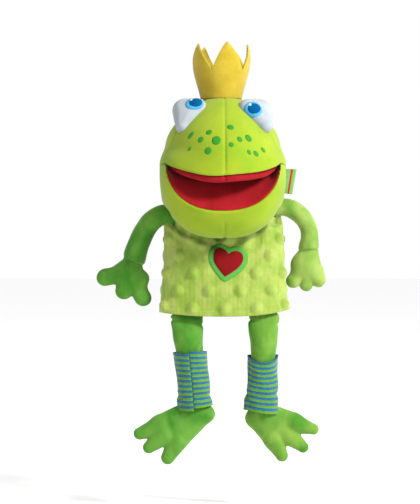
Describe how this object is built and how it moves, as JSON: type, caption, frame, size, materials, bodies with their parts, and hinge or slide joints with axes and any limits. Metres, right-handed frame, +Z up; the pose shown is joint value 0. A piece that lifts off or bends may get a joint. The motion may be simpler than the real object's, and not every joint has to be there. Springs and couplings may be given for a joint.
{
  "type": "hand puppet",
  "caption": "Plush frog hand puppet with a crown: a fabric glove with a soft head, a mouth that opens, stuffed arms and legs, and knitted leg warmers.",
  "frame": {"origin": "centre of the opening at the hem, where the hand goes in", "axes": "+Z up to the crown, -Y the puppet's front, +X to the right as seen from the front"},
  "size_m": [0.2063, 0.1159, 0.3743],
  "materials": {
    "dotted_plush": "soft plush with raised dots",
    "lining": "thin woven cotton",
    "green_felt": "matte felt",
    "red_fabric": "short velour",
    "face_fabric": "smooth brushed fabric",
    "mouth_board": "matte card",
    "yellow_felt": "matte felt",
    "white_fabric": "smooth brushed fabric",
    "light_blue_fabric": "satin stitch",
    "deep_blue_fabric": "satin stitch",
    "filling": "loose polyester fibre",
    "green_velour": "short velour",
    "striped_knit": "ribbed knit in two colours"
  },
  "bodies": {
    "glove": {"glove_front_panel": "dotted_plush", "glove_back_panel": "dotted_plush", "hem_facing": "lining", "heart_backing": "green_felt", "heart": "red_fabric", "leg_tab_left": "green_velour", "leg_tab_right": "green_velour"},
    "neck": {"neck_sleeve": "face_fabric"},
    "head": {"face_panel_left": "face_fabric", "face_panel_right": "face_fabric", "back_panel_left": "face_fabric", "back_panel_right": "face_fabric", "head_filling": "filling", "finger_pocket": "lining", "upper_palate": "red_fabric", "upper_mouth_board": "mouth_board", "crown": "yellow_felt", "eye_white_left": "white_fabric", "eye_white_right": "white_fabric", "iris_left": "light_blue_fabric", "iris_right": "light_blue_fabric", "pupil_left": "deep_blue_fabric", "pupil_right": "deep_blue_fabric", "seam_tab": "green_felt"},
    "jaw": {"chin_panel_left": "face_fabric", "chin_panel_right": "face_fabric", "lower_palate": "red_fabric", "lower_mouth_board": "mouth_board", "thumb_pocket": "lining"},
    "arm_root_left": {"arm_root_left": "green_velour"},
    "arm_left": {"arm_skin_left": "green_velour", "arm_filling_left": "filling"},
    "hand_left": {"hand_front_left": "green_velour", "hand_back_left": "green_velour", "hand_filling_left": "filling"},
    "leg_left": {"leg_skin_left": "green_velour", "leg_filling_left": "filling", "leg_warmer_left": "striped_knit"},
    "foot_left": {"foot_upper_left": "green_velour", "foot_sole_left": "green_velour", "foot_filling_left": "filling"},
    "arm_root_right": {"arm_root_right": "green_velour"},
    "arm_right": {"arm_skin_right": "green_velour", "arm_filling_right": "filling"},
    "hand_right": {"hand_front_right": "green_velour", "hand_back_right": "green_velour", "hand_filling_right": "filling"},
    "leg_right": {"leg_skin_right": "green_velour", "leg_filling_right": "filling", "leg_warmer_right": "striped_knit"},
    "foot_right": {"foot_upper_right": "green_velour", "foot_sole_right": "green_velour", "foot_filling_right": "filling"}
  },
  "joints": [
    {"name": "head_turn", "type": "hinge", "parent": "glove", "child": "neck", "pos_m": [0, 0.008, 0.08], "axis": [0, 0, 1], "range_deg": [-15, 15], "stiffness_Nm_per_rad": 0.06},
    {"name": "head_nod", "type": "hinge", "parent": "neck", "child": "head", "pos_m": [0, 0.008, 0.092], "axis": [1, 0, 0], "range_deg": [-12, 12], "stiffness_Nm_per_rad": 0.6},
    {"name": "jaw", "type": "hinge", "parent": "head", "child": "jaw", "pos_m": [0, -0.024, 0.132], "axis": [-1, 0, 0], "range_deg": [-12, 20], "stiffness_Nm_per_rad": 0.03},
    {"name": "arm_lift_left", "type": "hinge", "parent": "glove", "child": "arm_root_left", "pos_m": [-0.052, 0.008, 0.088], "axis": [0, 1, 0], "range_deg": [0, 22]},
    {"name": "arm_swing_left", "type": "hinge", "parent": "arm_root_left", "child": "arm_left", "pos_m": [-0.052, 0.008, 0.088], "axis": [-1, 0, 0], "range_deg": [-40, 60]},
    {"name": "wrist_left", "type": "hinge", "parent": "arm_left", "child": "hand_left", "pos_m": [-0.0823, 0.008, 0.048], "axis": [-1, 0, 0], "range_deg": [-35, 35]},
    {"name": "arm_lift_right", "type": "hinge", "parent": "glove", "child": "arm_root_right", "pos_m": [0.052, 0.008, 0.088], "axis": [0, -1, 0], "range_deg": [0, 22]},
    {"name": "arm_swing_right", "type": "hinge", "parent": "arm_root_right", "child": "arm_right", "pos_m": [0.052, 0.008, 0.088], "axis": [-1, 0, 0], "range_deg": [-40, 60]},
    {"name": "wrist_right", "type": "hinge", "parent": "arm_right", "child": "hand_right", "pos_m": [0.0768, 0.008, 0.0595], "axis": [-1, 0, 0], "range_deg": [-35, 35]},
    {"name": "hip_left", "type": "hinge", "parent": "glove", "child": "leg_left", "pos_m": [-0.0335, -0.011, 0], "axis": [-1, 0, 0], "range_deg": [-35, 45]},
    {"name": "ankle_left", "type": "hinge", "parent": "leg_left", "child": "foot_left", "pos_m": [-0.026, -0.011, -0.08], "axis": [-1, 0, 0], "range_deg": [-30, 30]},
    {"name": "hip_right", "type": "hinge", "parent": "glove", "child": "leg_right", "pos_m": [0.036, -0.011, 0], "axis": [-1, 0, 0], "range_deg": [-35, 45]},
    {"name": "ankle_right", "type": "hinge", "parent": "leg_right", "child": "foot_right", "pos_m": [0.034, -0.011, -0.084], "axis": [-1, 0, 0], "range_deg": [-30, 30]}
  ]
}
